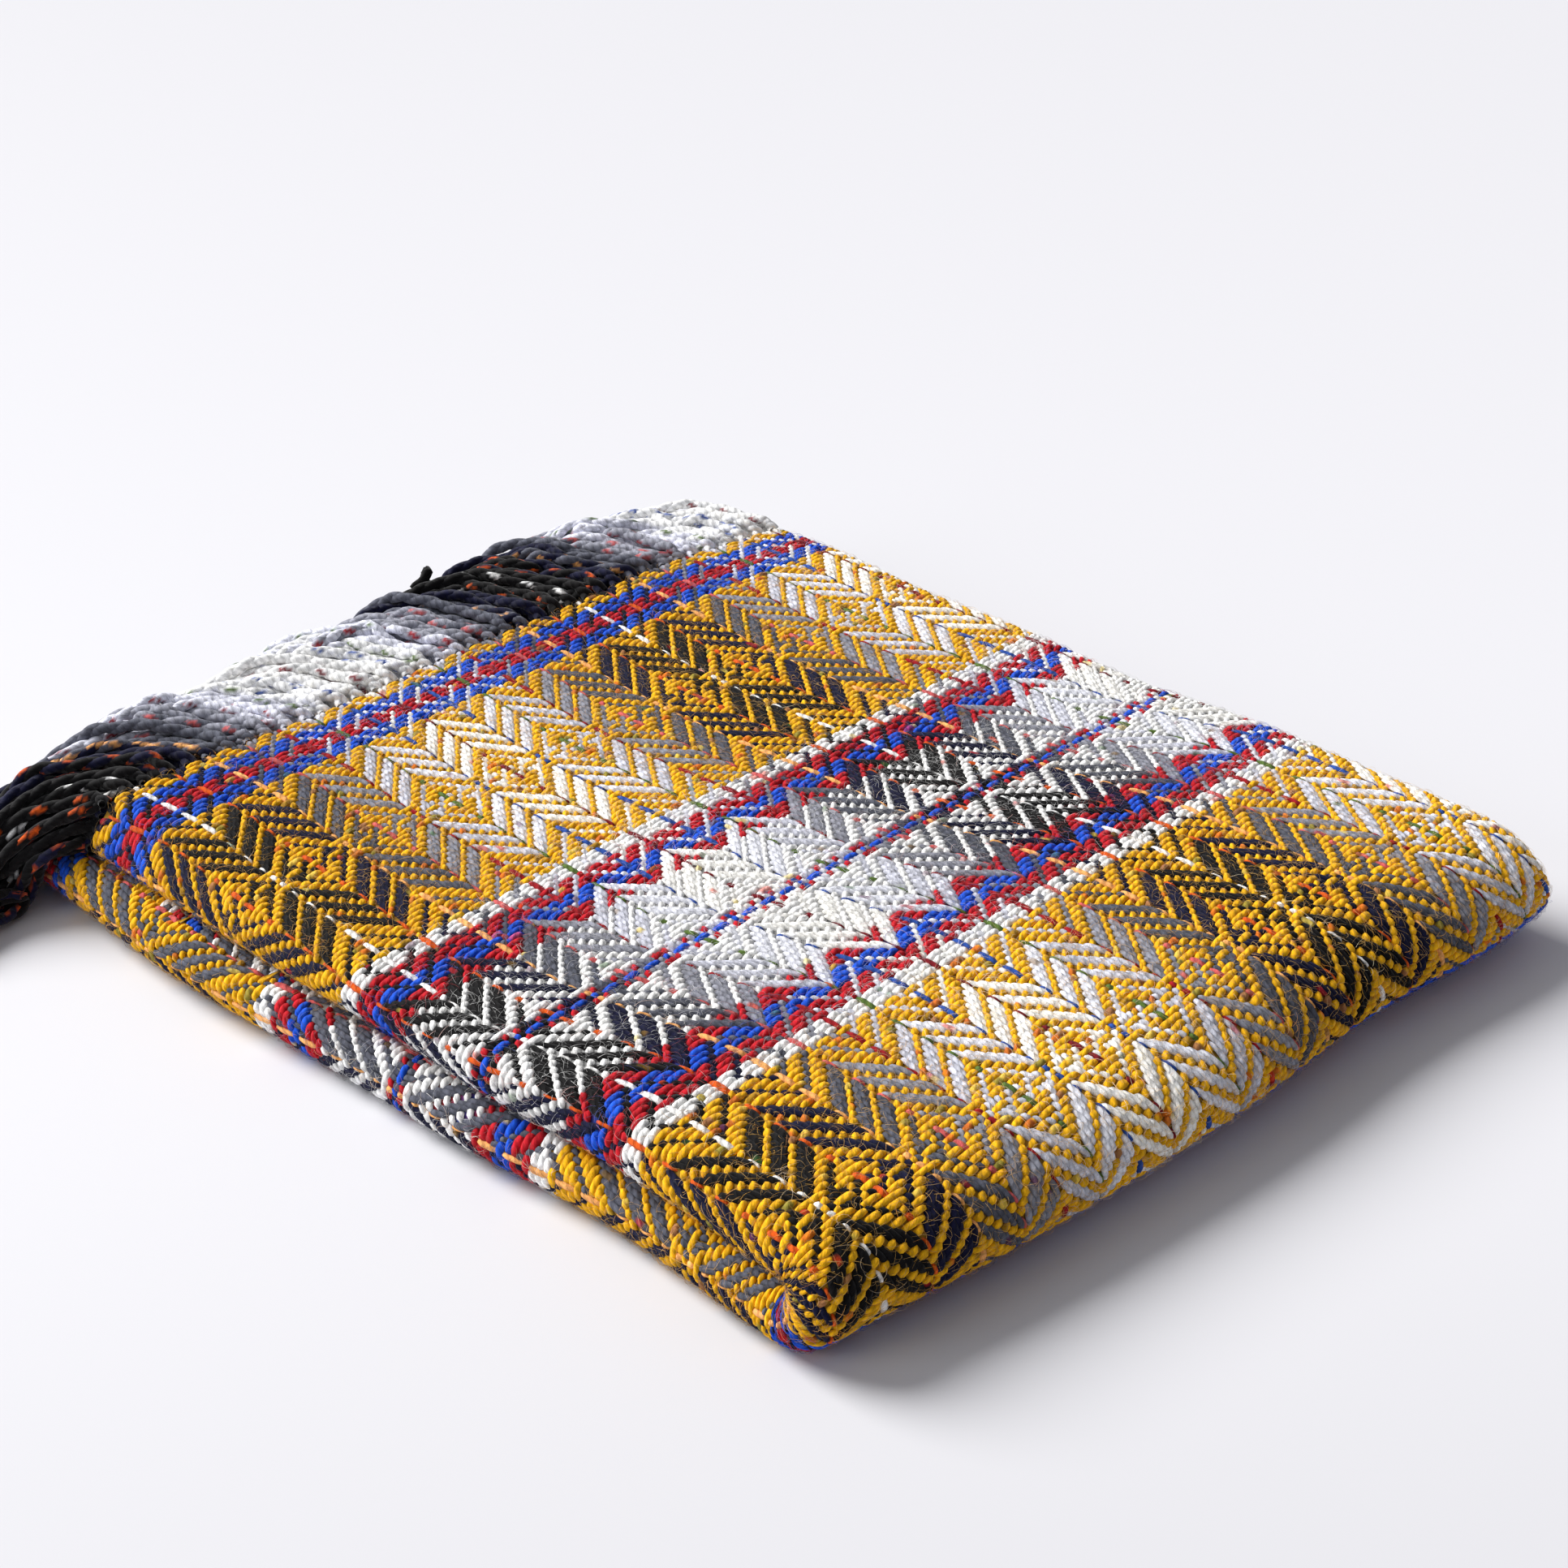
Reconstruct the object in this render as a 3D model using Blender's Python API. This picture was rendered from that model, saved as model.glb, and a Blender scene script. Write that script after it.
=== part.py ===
"""Folded throw blanket: one woven woollen cloth with a twisted fringe, folded into a flat pile.

The cloth is folded crosswise in half, lengthwise into quarters, and crosswise in half again.
So the pile has two bundles of eight layers, joined by the last fold along its front edge.
Units are metres. X runs along the weft, Y from the front fold to the fringe, and Z up.
"""
import math

import bmesh
import bpy
from mathutils import Vector

# ---- the cloth as it was woven
END_PITCH = 0.002235            # distance between two warp ends, along the weft
PICK_PITCH = 0.00275            # distance between two weft picks, along the warp
CLOTH_ENDS = 630                # warp ends from selvedge to selvedge
CLOTH_PICKS = 590               # weft picks from hem to hem
ENDS_PER_CORD = 4               # warp ends twisted into one fringe cord
CORD_LENGTH = 0.105
CORD_DIAMETER = 0.0042

# ---- the pile it is folded into
BUNDLE_HEIGHT = 0.0197          # eight layers under the weight of the pile
GAP = 0.0003                    # air between touching pieces
FOLD_ALLOWANCE_PICKS = 23       # picks that go round the outside of the front fold
STRIP_WIDTH = CLOTH_ENDS * END_PITCH / 4
UPPER_DEPTH = 128 * PICK_PITCH  # front fold to the hems
LOWER_DEPTH = CLOTH_PICKS * PICK_PITCH / 2 - UPPER_DEPTH - FOLD_ALLOWANCE_PICKS * PICK_PITCH
CREASE_HEIGHT = BUNDLE_HEIGHT + GAP / 2
SIDE_ROUNDING = 0.0085
FOLD_SIDES = 40                 # sides of a full turn of the front fold

# ---- the fringe
CORDS = 40
CORD_POINTS = 10
CORD_START = 0.0010             # behind the hem
HEM_CORD_HEIGHT = 0.0368        # centre of a top cord where it leaves the hem
CORD_HEADING = ((0.0, 8.0), (0.020, 13.0), (0.080, 60.0), (0.105, 74.0))     # degrees from +Y to -X
CORD_CLIMB = ((0.0, 5.0), (0.015, 2.0), (0.040, -8.0), (0.070, -20.0), (0.105, -32.0))
SPILL_HEIGHT = 0.0120           # how much lower the first cord's tip falls, off the pile's side

# ---- colours of the warp from one black section to the next, one for each half chevron
WARP_COLOURS = {
    "black": (0.012, 0.010, 0.012, 1.0),
    "navy": (0.012, 0.014, 0.060, 1.0),
    "charcoal": (0.090, 0.095, 0.115, 1.0),
    "grey": (0.300, 0.300, 0.330, 1.0),
    "silver": (0.480, 0.480, 0.530, 1.0),
    "white": (0.850, 0.840, 0.820, 1.0),
}
HALF_CHEVRON_ENDS = 7
HALF_REPEAT = ("black", "navy", "charcoal", "charcoal", "grey", "silver", "white")
WARP_ORDER = HALF_REPEAT + HALF_REPEAT[::-1]
BLACK_CENTRE_ENDS = 7           # from the pile's left side to the middle of its first black section
MUSTARD = (0.620, 0.330, 0.020, 1.0)
CLOTH_ROUGHNESS = 0.92


def clear_scene():
    for thing in list(bpy.data.objects):
        bpy.data.objects.remove(thing, do_unlink=True)


def new_collection(name):
    collection = bpy.data.collections.new(name)
    bpy.context.scene.collection.children.link(collection)
    return collection


def wool(name, colour):
    material = bpy.data.materials.new(name)
    material.use_nodes = True
    shader = material.node_tree.nodes["Principled BSDF"]
    shader.inputs["Base Color"].default_value = colour
    shader.inputs["Roughness"].default_value = CLOTH_ROUGHNESS
    shader.inputs["Metallic"].default_value = 0.0
    return material


def add_mesh_object(name, bm, collection, material):
    bmesh.ops.recalc_face_normals(bm, faces=bm.faces)
    mesh = bpy.data.meshes.new(name)
    bm.to_mesh(mesh)
    bm.free()
    mesh.materials.append(material)
    thing = bpy.data.objects.new(name, mesh)
    collection.objects.link(thing)
    return thing


def along_y(edge):
    span = edge.verts[1].co - edge.verts[0].co
    return abs(span.y) > 0.9 * span.length


def along_x_at(edge, y):
    span = edge.verts[1].co - edge.verts[0].co
    return abs(span.x) > 0.9 * span.length and abs(edge.verts[0].co.y - y) < 1e-5


def bundle(name, depth, floor, collection, closed_at_back):
    """Eight layers of cloth: a slab with soft sides, and a soft back where that is a fold."""
    bm = bmesh.new()
    bmesh.ops.create_cube(bm, size=1.0)
    size = Vector((STRIP_WIDTH, depth, BUNDLE_HEIGHT - GAP / 2))
    centre = Vector((STRIP_WIDTH / 2, depth / 2, floor + size.z / 2))
    for vertex in bm.verts:
        vertex.co = Vector(a * b for a, b in zip(vertex.co, size)) + centre
    soft = [e for e in bm.edges if along_y(e) or (closed_at_back and along_x_at(e, depth))]
    bmesh.ops.bevel(bm, geom=soft, offset=SIDE_ROUNDING, segments=4, profile=0.5, affect="EDGES")
    return add_mesh_object(name, bm, collection, wool(name + "_wool", MUSTARD))


def front_fold(name, collection):
    """The last fold: half a cylinder in front of both bundles."""
    radius = BUNDLE_HEIGHT - GAP
    bm = bmesh.new()
    bmesh.ops.create_cone(bm, cap_ends=True, segments=FOLD_SIDES, radius1=radius, radius2=radius,
                          depth=STRIP_WIDTH - 2 * GAP)
    for vertex in bm.verts:
        x, y, z = vertex.co
        vertex.co = Vector((z + STRIP_WIDTH / 2, x, y + CREASE_HEIGHT))
    geometry = list(bm.verts) + list(bm.edges) + list(bm.faces)
    cut = bmesh.ops.bisect_plane(bm, geom=geometry, plane_co=(0.0, -GAP, 0.0), plane_no=(0.0, 1.0, 0.0),
                                 clear_outer=True)
    rim = [item for item in cut["geom_cut"] if isinstance(item, bmesh.types.BMEdge)]
    bmesh.ops.contextual_create(bm, geom=rim)
    return add_mesh_object(name, bm, collection, wool(name + "_wool", MUSTARD))


def fringe_pile(name, collection):
    """The fringe of the seven layers under the top one, as it lies behind the hems."""
    ledge = LOWER_DEPTH - UPPER_DEPTH
    low = BUNDLE_HEIGHT + 2 * GAP
    outline = ((GAP, low), (ledge + 0.0012, low), (ledge + 0.0018, 0.0010), (0.0680, 0.0010),
               (0.0700, 0.0130), (0.0660, 0.0195), (0.0560, 0.0255), (0.0400, 0.0310),
               (0.0200, 0.0338), (GAP, 0.0338))
    bm = bmesh.new()
    ring = [bm.verts.new((0.0, UPPER_DEPTH + y, z)) for y, z in outline]
    side = bm.faces.new(ring)
    swept = bmesh.ops.extrude_face_region(bm, geom=[side])
    moved = [item for item in swept["geom"] if isinstance(item, bmesh.types.BMVert)]
    bmesh.ops.translate(bm, verts=moved, vec=(STRIP_WIDTH, 0.0, 0.0))
    return add_mesh_object(name, bm, collection, wool(name + "_wool", WARP_COLOURS["grey"]))


def value_at(table, s):
    """Straight-line reading of a table of (distance along the cord, value)."""
    for (s0, v0), (s1, v1) in zip(table, table[1:]):
        if s <= s1:
            return v0 + (v1 - v0) * (s - s0) / (s1 - s0)
    return table[-1][1]


def spill(start_x, s):
    """How much lower a cord lies at s, once it has left the pile's left side."""
    leaves_at = 0.016 + 1.5 * start_x
    if s <= leaves_at:
        return 0.0
    room = CORD_LENGTH - leaves_at
    return SPILL_HEIGHT * (room / 0.085) * ((s - leaves_at) / room) ** 1.5


def cord_route(start_x):
    """Centre line of a top cord: back from the hem, then combed to the left and down."""
    steps = (CORD_POINTS - 1) * 4
    ds = CORD_LENGTH / steps
    point = Vector((start_x, UPPER_DEPTH + CORD_START, HEM_CORD_HEIGHT))
    route = []
    for step in range(steps + 1):
        s = step * ds
        if step % 4 == 0:
            route.append(point - Vector((0.0, 0.0, spill(start_x, s))))
        heading = math.radians(value_at(CORD_HEADING, s + ds / 2))
        climb = math.radians(value_at(CORD_CLIMB, s + ds / 2))
        flat = math.cos(climb) * ds
        point = point + Vector((-math.sin(heading) * flat, math.cos(heading) * flat, math.sin(climb) * ds))
    return route


def warp_colour_at(x):
    end = x / END_PITCH - BLACK_CENTRE_ENDS
    return WARP_ORDER[int(end // HALF_CHEVRON_ENDS) % len(WARP_ORDER)]


def fringe_cord(number, collection, wools):
    start_x = (number + 0.5) * STRIP_WIDTH / CORDS
    curve = bpy.data.curves.new(f"fringe_cord_{number + 1:02d}", "CURVE")
    curve.dimensions = "3D"
    curve.bevel_depth = CORD_DIAMETER / 2
    curve.bevel_resolution = 1
    curve.use_fill_caps = True
    curve.render_resolution_u = 0
    spline = curve.splines.new("POLY")
    route = cord_route(start_x)
    spline.points.add(len(route) - 1)
    for control, place in zip(spline.points, route):
        control.co = (*place, 1.0)
    curve.materials.append(wools[warp_colour_at(start_x)])
    thing = bpy.data.objects.new(curve.name, curve)
    collection.objects.link(thing)
    return thing


def stand_at_origin(things):
    """Move everything so that the bottom centre of the whole blanket's box is the origin."""
    bpy.context.view_layer.update()
    graph = bpy.context.evaluated_depsgraph_get()
    corners = []
    for thing in things:
        solid = thing.evaluated_get(graph)
        mesh = solid.to_mesh()
        corners += [thing.matrix_world @ vertex.co for vertex in mesh.vertices]
        solid.to_mesh_clear()
    low = Vector(min(c[axis] for c in corners) for axis in range(3))
    high = Vector(max(c[axis] for c in corners) for axis in range(3))
    shift = Vector((-(low.x + high.x) / 2, -(low.y + high.y) / 2, -low.z))
    for thing in things:
        thing.location = thing.location + shift
    return shift


def main():
    clear_scene()
    blanket = new_collection("folded_throw_blanket")
    wools = {name: wool("warp_" + name, colour) for name, colour in WARP_COLOURS.items()}
    things = [
        bundle("lower_bundle", LOWER_DEPTH, 0.0, blanket, closed_at_back=True),
        bundle("upper_bundle", UPPER_DEPTH, CREASE_HEIGHT + GAP / 2, blanket, closed_at_back=False),
        front_fold("front_fold", blanket),
        fringe_pile("fringe_under_layers", blanket),
    ]
    things += [fringe_cord(number, blanket, wools) for number in range(CORDS)]
    shift = stand_at_origin(things)
    print("crease axis at y, z:", round(shift.y, 5), round(CREASE_HEIGHT + shift.z, 5),
          "left side of the pile at x:", round(shift.x, 5))


main()
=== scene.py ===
"""Visual model of the folded throw blanket: the folded cloth, the yarns of its weave, and its fringe.

Lengths are in metres. The pile's own coordinates are x from its left side, y from the hems
towards the fringe, and z from the floor; settle() turns them into the row frame.
"""
import math

import bpy
import numpy as np
from mathutils import Matrix, Vector, kdtree


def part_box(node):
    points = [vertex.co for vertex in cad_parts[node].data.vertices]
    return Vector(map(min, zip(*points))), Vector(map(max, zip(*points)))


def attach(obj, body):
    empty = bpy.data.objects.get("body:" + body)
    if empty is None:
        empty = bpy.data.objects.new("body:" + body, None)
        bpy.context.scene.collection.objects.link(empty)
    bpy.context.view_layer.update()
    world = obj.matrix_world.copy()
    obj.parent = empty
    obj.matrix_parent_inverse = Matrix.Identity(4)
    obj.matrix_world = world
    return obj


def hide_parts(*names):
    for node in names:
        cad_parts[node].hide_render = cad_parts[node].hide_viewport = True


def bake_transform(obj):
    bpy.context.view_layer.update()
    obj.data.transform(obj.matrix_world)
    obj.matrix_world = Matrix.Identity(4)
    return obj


MM = 0.001
SEED = 20

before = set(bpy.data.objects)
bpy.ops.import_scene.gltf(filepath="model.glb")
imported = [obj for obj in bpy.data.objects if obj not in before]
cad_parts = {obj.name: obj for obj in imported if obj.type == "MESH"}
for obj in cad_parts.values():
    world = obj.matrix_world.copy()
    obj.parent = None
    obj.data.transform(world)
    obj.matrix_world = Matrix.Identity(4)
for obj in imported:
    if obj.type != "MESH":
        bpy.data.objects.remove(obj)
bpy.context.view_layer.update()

# ---- the pile, from the CAD
PILE_LOW, PILE_HIGH = [list(corner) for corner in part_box("upper_bundle")]
LEFT_X, FOLD_Y, HEM_Y = PILE_LOW[0], PILE_LOW[1], PILE_HIGH[1]
WIDTH = PILE_HIGH[0] - PILE_LOW[0]
UPPER_LENGTH = HEM_Y - FOLD_Y
LOWER_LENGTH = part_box("lower_bundle")[1][1] - FOLD_Y
CREASE_Z = 19.85 * MM           # the face where the two halves meet
HALF_GAP = 0.15 * MM
BUNDLE = 19.70 * MM             # height of one half, eight layers
LAYER = BUNDLE / 8
TURN_LENGTH = 70 * MM           # round the outside of the front fold
STRIP_LENGTH = UPPER_LENGTH + TURN_LENGTH + LOWER_LENGTH

# ---- the weave
END_PITCH = 2.235 * MM
PICK_PITCH = 2.75 * MM
HEM_PICK = -31                  # picks are numbered from a mirror line of the weave
SHAFT_REPEAT = 14               # ends, picks and bands each mirror in the middle of their repeat
PICK_REPEAT = 48
BAND_REPEAT = 144
BAND_START = 24
COLOUR_REPEAT = 98
SECTION = 7                     # ends of one ground colour; the first is an accent
SIDE_RADIUS = BUNDLE / 2
HALF_ARC = math.pi * SIDE_RADIUS / 2
CENTRE_END_X = 16.0 * MM        # the pile's first black centre end, E = 0
SINK = 0.9 * MM                 # the skin lies this far inside, so that the yarns reach the pile's size
ROUGH = 0.14 * MM               # unevenness of a yarn's surface


def srgb(r, g, b):
    """Linear colour from 8-bit values."""
    def linear(c):
        c /= 255
        return c / 12.92 if c <= 0.04045 else ((c + 0.055) / 1.055) ** 2.4
    return np.array([linear(r), linear(g), linear(b)])


MUSTARD = srgb(242, 180, 18)
BLUE = srgb(26, 84, 208)
RED = srgb(190, 22, 36)
WHITE = srgb(251, 250, 248)
GROUND = [srgb(10, 8, 10), srgb(12, 14, 46), srgb(84, 86, 97), srgb(138, 139, 150),
          srgb(203, 204, 216), srgb(226, 227, 236), srgb(249, 247, 242)]
ACCENT = [WHITE, srgb(218, 88, 20), srgb(250, 178, 106), srgb(204, 92, 92), srgb(150, 18, 28),
          srgb(86, 110, 48), srgb(40, 78, 160), srgb(120, 18, 30)]
FLECKS = [srgb(214, 70, 30), srgb(176, 30, 40), srgb(70, 110, 60), srgb(96, 40, 80), srgb(226, 200, 90),
          srgb(120, 90, 30)]


def rng(salt):
    """Random numbers for one purpose, the same on every run."""
    return np.random.default_rng(SEED * 1000 + salt)


# ---------------------------------------------------------------- the weave
def mirrored(number, repeat):
    """Place in a repeat that runs up to its middle and back down again."""
    step = np.mod(number, repeat)
    return np.where(step > repeat // 2, repeat - step, step)


def warp_colour(end):
    """Colour of warp end E (an array of whole numbers)."""
    step = mirrored(end, COLOUR_REPEAT)
    out = np.array(GROUND)[np.clip(step // SECTION, 0, len(GROUND) - 1)]
    accent = np.mod(end, SECTION) == 0
    out[accent] = np.array(ACCENT)[step[accent] // SECTION]
    return out


def shaft(end):
    """The shaft, 0 to 7, that lifts a warp end in a pointed draft."""
    return mirrored(end, SHAFT_REPEAT)


def warp_up(end, pick):
    """True where the warp shows on the cloth's face: s is the shaft, k the place in the zigzag."""
    s = shaft(end)[:, None]
    k = mirrored(pick, PICK_REPEAT)[None, :]
    r = k - s
    up = np.where(r < 0, np.mod(r, 4) == 3, (r >= 2) & (r != 5) & (r != 9) & (r <= 12))
    up = np.where(r >= 13, np.mod(r, 4) == 0, up)
    up = np.where(k == 1, (s != 1) & (s != 5), up)
    up = np.where(k == 2, (s == 3) | (s == 7), up)
    up = np.where((s == 0) & (k >= 13), (k != 13) & (k != 14) & (k != 18) & (k != 22), up)
    up = np.where((s == 7) & (k >= 20), (k == 20) | (k >= 23), up)
    return up.astype(bool)


def weft_colour(pick):
    """Colour of weft pick P (an array of whole numbers)."""
    c = mirrored(pick + BAND_START, BAND_REPEAT)
    out = np.empty((len(pick), 3))
    bands = ((1, RED), (4, BLUE), (46, MUSTARD), (49, WHITE), (52, RED), (55, BLUE), (58, RED),
             (70, WHITE), (71, RED), (72, BLUE))
    low = -1
    for high, colour in bands:
        out[(c > low) & (c <= high)] = colour
        low = high
    return out


def is_mustard(pick):
    c = mirrored(pick + BAND_START, BAND_REPEAT)
    return (c >= 5) & (c <= 46)


# ---------------------------------------------------------------- where the cloth lies
SKEW = 15 * MM                  # how much further back the weft lines reach on the right
SKEW_FROM, SKEW_TO = 0.24, 0.34  # the skew fades out between these distances from the hem
CREPT = 22 * MM                 # how far the lower half's cloth has crept round the front fold
LOW_LEFT = 17 * MM              # how far the back of the lower half has slid out to the left
SLUMP = 10 * MM                 # and how far the upper half's side has slumped over it
SHIFT_BELOW = 8.9 * MM          # how much further round its side fold the lower half lies
SWAY_MIDDLE, SWAY_FRONT, SWAY_LESS = 4, 10, 7       # millimetres: left, right, and less on the right


def smooth(x, a, b):
    """0 at a and before, 1 at b and after, with an even ease between them."""
    t = np.clip((x - a) / (b - a), 0, 1)
    return t * t * (3 - 2 * t)


def fade(x, reach):
    """1 at an edge and outside it, falling off inwards over this reach."""
    return np.exp(-np.clip(x, 0, 1) / reach)


def shift_across(x, y, up, below):
    """How far points have moved to the right, with the waves of the left and right edges."""
    along = np.clip(x / WIDTH, 0, 1)
    middle = -SWAY_MIDDLE * smooth(-y, 0, 0.09) + SWAY_MIDDLE * smooth(-y, 0.09, 0.19)
    sway = (middle + (SWAY_FRONT - SWAY_LESS * along) * smooth(-y, 0.195, 0.285)) * MM
    dx = sway * np.clip(0.25 + 0.75 * up + 0.3 * along, 0, 1)
    dx = dx - LOW_LEFT * below * fade(x, 0.10) * smooth(y, -0.30, -0.02)
    lean = 1 - smooth(up, 0.45, 0.95)
    dx = dx - SLUMP * (1 - below) * lean * fade(x, 0.04) * smooth(y, -0.14, 0.0) ** 1.5
    left = 0.7 * np.sin(y / 0.024 + 5 * up) + 0.6 * np.sin(y / 0.051 + 2.1 + 7 * up)
    right = 1.4 * np.sin(y / 0.031 + 1.0 + 3 * up) + 1.0 * np.sin(y / 0.017 + 4 * up)
    dx = dx + fade(x, 0.03) * left * MM
    return dx + fade(WIDTH - x, 0.03) * right * MM


def shift_back(x, y):
    """How far points have moved to the back: the skew, the drawn-out hem and the wavy weft."""
    along = np.clip(x / WIDTH, 0, 1)
    dy = (SKEW * along ** 1.2 - 2 * MM) * (1 - 0.8 * smooth(-y, SKEW_FROM, SKEW_TO))
    drawn = 5.5 + 6.5 * smooth(x, 0.02, 0.20) - 5 * smooth(x, 0.27, 0.35)
    dy = dy + drawn * MM * smooth(y, -0.15, 0.0)
    wave = 1.6 * np.sin(x / 0.036 + 1.3) + 1.1 * np.sin(x / 0.021 + y / 0.09)
    return dy + wave * MM * smooth(np.abs(y + 0.17), 0.10, 0.20)


def shift_up(x, y, up):
    """How the upper half rises and sags; the lower half stays flat, clear of the crease."""
    along = np.clip(x / WIDTH, 0, 1)
    roll = 0.9 * np.sin(x / 0.043 + y / 0.075 + 0.6) + 0.8 * np.sin(y / 0.037 - x / 0.11 + 2.0)
    hem = 2.6 * smooth(y, -0.20, 0.0) * (0.5 + 0.5 * along) - 2.4 * np.exp(-((y + 0.372) / 0.030) ** 2)
    sag = -1.6 * fade(x, 0.012) * np.clip(up * 2 - 1, 0, 1)
    return np.clip(2 * up - 1, 0, 1.3) * (roll + hem + sag) * MM


def settle(x, y, z, cord=False):
    """From a neat pile to the real one: skewed, wavy and a little slack, in the row frame."""
    up = np.clip(z / (2 * CREASE_Z), 0, 1.2)
    below = 0.0 if cord else (z < CREASE_Z) * 1.0
    return np.stack([LEFT_X + x + shift_across(x, y, up, below), HEM_Y + y + shift_back(x, y),
                     z + shift_up(x, y, up)], axis=-1)


def lay_strip(x, h, s):
    """x across, h from the crease face, s along the strip from the hem: laid over the front fold."""
    turn = np.clip((s - UPPER_LENGTH) / TURN_LENGTH, 0, 1) * math.pi
    radius = h + HALF_GAP
    past = s - UPPER_LENGTH - TURN_LENGTH
    across = np.clip(x / WIDTH, 0, 1)
    belly = 0.10 + 0.42 * smooth(across, 0.02, 0.40) - 0.10 * smooth(across, 0.85, 1.0)
    bulge = 1 + belly * np.sin(turn) ** 0.5 * (1 - 0.30 * np.cos(turn))
    y = np.where(s <= UPPER_LENGTH, -s, -UPPER_LENGTH - radius * np.sin(turn) * bulge + np.clip(past, 0, 9))
    z = CREASE_Z + radius * np.cos(turn)
    return settle(x, y, z)


def skin_section(sigma, off):
    """The strip's outer skin across its width: sigma runs from the left fold's middle over the top."""
    radius = SIDE_RADIUS - SINK + off
    angle = np.clip(sigma / SIDE_RADIUS, -math.pi / 2, math.pi / 2)
    flat = np.clip(np.abs(sigma) - HALF_ARC, 0, 9)
    x = SIDE_RADIUS - radius * np.cos(angle) + flat
    h = SIDE_RADIUS + radius * np.sin(angle)
    small = SIDE_RADIUS / 2                     # the fold at the right turns only two layers back
    start = WIDTH - small
    over = np.clip(x - start, 0, 9) * (sigma > 0)
    turn = np.clip(over / small, 0, math.pi)
    inner = small - SINK + off
    x = np.where(over > 0, start + inner * np.sin(turn), x)
    h = np.where(over > 0, 3 * small + inner * np.cos(turn), h)
    return x, h


def shift_below(s):
    """The lower half lies a little further round its side fold than the upper half."""
    return SHIFT_BELOW * smooth(s, UPPER_LENGTH, UPPER_LENGTH + TURN_LENGTH)


def end_sigma(end, s):
    """How far round the strip, from the middle of its left fold, a warp end lies."""
    return CENTRE_END_X - SIDE_RADIUS + HALF_ARC + end * END_PITCH + shift_below(s)


def strip_at(x, s):
    """Where along the pile's strip the cloth's own distance s comes to lie."""
    skewed = 0.7 * SKEW * np.clip(x / WIDTH, 0, 1) ** 1.2 * smooth(s, SKEW_FROM - 0.03, SKEW_TO - 0.01)
    forward = CREPT * smooth(s, UPPER_LENGTH + 0.5 * TURN_LENGTH, UPPER_LENGTH + TURN_LENGTH + 0.06)
    return s - skewed - forward


def skin(end, s, off):
    """Point on the strip's outer skin: warp end, distance along the cloth and height over the skin."""
    sigma = end_sigma(end, s)
    sigma = sigma + (6 + 6 * sigma / WIDTH) * MM * smooth(s, 0.195, 0.285) * smooth(sigma, 0.0, 0.06)
    left = 1 - smooth(sigma, 0.06, 0.20)
    sigma = sigma + 5 * MM * smooth(s, 0.0, 0.05) * (1 - smooth(s, 0.10, 0.19)) * left
    x, h = skin_section(sigma, off)
    return lay_strip(x, h, strip_at(x, s))


# ---------------------------------------------------------------- building meshes
def new_object(name, verts, faces, material, colours, yarn):
    """Object from quads, with a colour and yarn coordinates (along, around, own number) at each vertex."""
    mesh = bpy.data.meshes.new(name)
    mesh.vertices.add(len(verts))
    mesh.vertices.foreach_set("co", np.asarray(verts, np.float32).ravel())
    count = len(faces)
    mesh.loops.add(count * 4)
    mesh.loops.foreach_set("vertex_index", np.asarray(faces, np.int32).ravel())
    mesh.polygons.add(count)
    mesh.polygons.foreach_set("loop_start", np.arange(0, count * 4, 4, dtype=np.int32))
    mesh.polygons.foreach_set("use_smooth", np.ones(count, bool))
    layer = mesh.color_attributes.new("Col", "FLOAT_COLOR", "POINT")
    rgba = np.ones((len(verts), 4), np.float32)
    rgba[:, :3] = np.clip(colours, 0, 1)
    layer.data.foreach_set("color", rgba.ravel())
    layer = mesh.attributes.new("yarn", "FLOAT_VECTOR", "POINT")
    layer.data.foreach_set("vector", np.asarray(yarn, np.float32).ravel())
    mesh.update(calc_edges=True)
    mesh.materials.append(material)
    thing = bpy.data.objects.new(name, mesh)
    bpy.context.scene.collection.objects.link(thing)
    return thing


def grid_faces(rows, columns, wrap=False):
    """Quads of a rows x columns grid of vertices."""
    across = columns if wrap else columns - 1
    i, j = np.meshgrid(np.arange(rows - 1), np.arange(across), indexing="ij")
    k = (j + 1) % columns
    return np.stack([i * columns + j, i * columns + k, (i + 1) * columns + k, (i + 1) * columns + j],
                    axis=-1).reshape(-1, 4)


class Batch:
    """Collects many small grids and makes one object of them."""

    def __init__(self):
        self.verts, self.faces, self.colours, self.yarn, self.count = [], [], [], [], 0

    def add(self, verts, faces, colours, yarn):
        """verts is (pieces, vertices, 3); faces is for one piece."""
        pieces, each = verts.shape[:2]
        shift = self.count + np.arange(pieces)[:, None, None] * each
        self.verts.append(verts.reshape(-1, 3))
        self.faces.append((faces[None] + shift).reshape(-1, 4))
        self.colours.append(colours.reshape(-1, 3))
        self.yarn.append(yarn.reshape(-1, 3))
        self.count += pieces * each

    def build(self, name, material):
        return new_object(name, np.concatenate(self.verts), np.concatenate(self.faces), material,
                          np.concatenate(self.colours), np.concatenate(self.yarn))


def runs(mask):
    """(row, start, length) of every run of True along the rows."""
    padded = np.pad(mask.astype(np.int8), ((0, 0), (1, 1)))
    change = np.diff(padded, axis=1)
    row, start = np.nonzero(change == 1)
    _, stop = np.nonzero(change == -1)
    return row, start, stop - start


def noise_by(a, b, salt):
    """A repeatable random number from 0 to 1 for each pair of whole numbers."""
    v = np.sin(a * 12.9898 + b * 78.233 + salt * 37.719) * 43758.5453
    return v - np.floor(v)


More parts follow.
